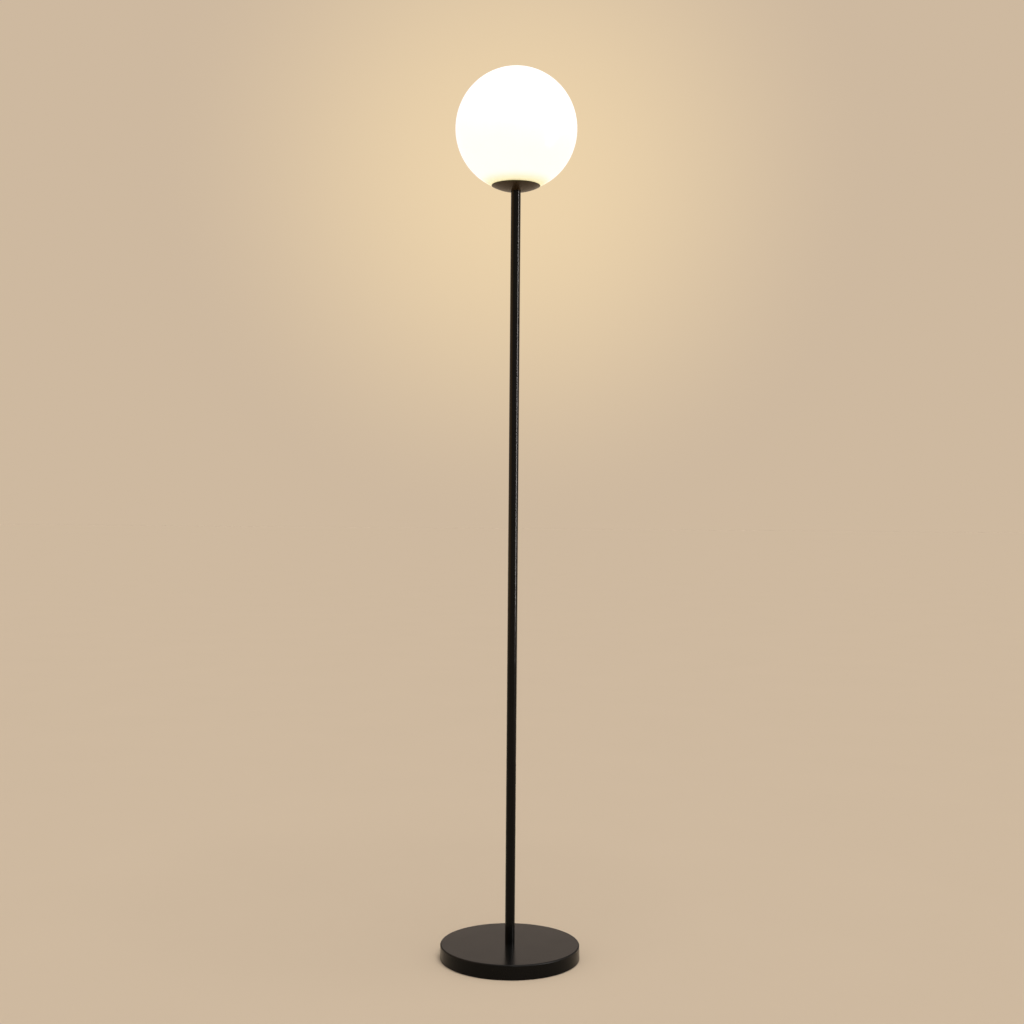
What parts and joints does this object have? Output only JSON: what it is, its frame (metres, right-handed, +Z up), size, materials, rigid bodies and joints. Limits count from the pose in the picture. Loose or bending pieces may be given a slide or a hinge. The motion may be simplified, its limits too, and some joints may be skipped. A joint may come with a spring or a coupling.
{
  "type": "globe floor lamp",
  "caption": "Slim floor lamp: weighted disc base, straight tube pole, shallow dish and a lift-off opal glass globe over a screw-in bulb.",
  "frame": {"origin": "on the floor, under the middle of the round base", "axes": "+Z up along the pole, -Y towards the viewer of the picture, cord inlet at +Y"},
  "size_m": [0.229, 0.2306, 1.4608],
  "materials": {
    "black_steel": "satin powder coat",
    "cast_iron": "raw casting",
    "felt": "needled felt",
    "black_rubber": "matt",
    "silicone": "translucent matt",
    "zinc_steel": "zinc plated",
    "spring_steel": "bright",
    "brass": "turned",
    "tin": "tinned",
    "nylon": "moulded",
    "black_plastic": "moulded, fine texture",
    "steatite": "unglazed",
    "brown_pvc": "wire sleeve",
    "blue_pvc": "wire sleeve",
    "green_pvc": "wire sleeve, green and yellow",
    "opal_glass": "opal, satin",
    "opal_plastic": "opal",
    "white_plastic": "moulded",
    "nickel": "nickel plated",
    "black_glass": "fused glass bead",
    "aluminium": "pressed sheet",
    "white_board": "coated board",
    "phosphor": "LED phosphor",
    "green_board": "circuit board"
  },
  "bodies": {
    "root": {"base_pad": "felt", "base_weight": "cast_iron", "base_cover": "black_steel", "cord_grommet": "black_rubber", "base_stud": "zinc_steel", "earth_tag": "tin", "base_washer": "zinc_steel", "base_lock_washer": "zinc_steel", "base_nut": "zinc_steel", "terminal_block": "nylon", "terminal_barrels": "brass", "terminal_screws": "zinc_steel", "block_screw": "zinc_steel", "pole_lower": "black_steel", "pole_middle": "black_steel", "pole_upper": "black_steel", "pole_inserts": "zinc_steel", "pole_couplers": "zinc_steel", "live_lead": "brown_pvc", "neutral_lead": "blue_pvc", "earth_lead": "green_pvc", "shade_cup": "black_steel", "head_nipple": "zinc_steel", "head_lock_washer": "zinc_steel", "head_nut": "zinc_steel", "seat_ring": "silicone", "shade_carrier": "zinc_steel", "spring_clips": "spring_steel", "clip_rivets": "zinc_steel", "holder_cap": "black_plastic", "holder_barrel": "black_plastic", "holder_insert": "steatite", "holder_terminals": "brass", "holder_screws": "zinc_steel", "screw_shell": "nickel", "centre_contact": "brass"},
    "shade": {"globe_shade": "opal_glass"},
    "bulb": {"bulb_diffuser": "opal_plastic", "bulb_housing": "white_plastic", "bulb_heat_spreader": "aluminium", "bulb_led_board": "white_board", "bulb_leds": "phosphor", "bulb_driver_board": "green_board", "bulb_screw_cap": "nickel", "bulb_cap_insulator": "black_glass", "bulb_tip_contact": "tin"}
  },
  "joints": [
    {"name": "globe_lift", "type": "slide", "parent": "root", "child": "shade", "axis": [0, 0, 1], "range_m": [0, 0.16]},
    {"name": "bulb_turn", "type": "hinge", "parent": "root", "child": "bulb", "pos_m": [0, 0, 1.3015], "axis": [0, 0, 1], "range_deg": [0, 1260]}
  ]
}
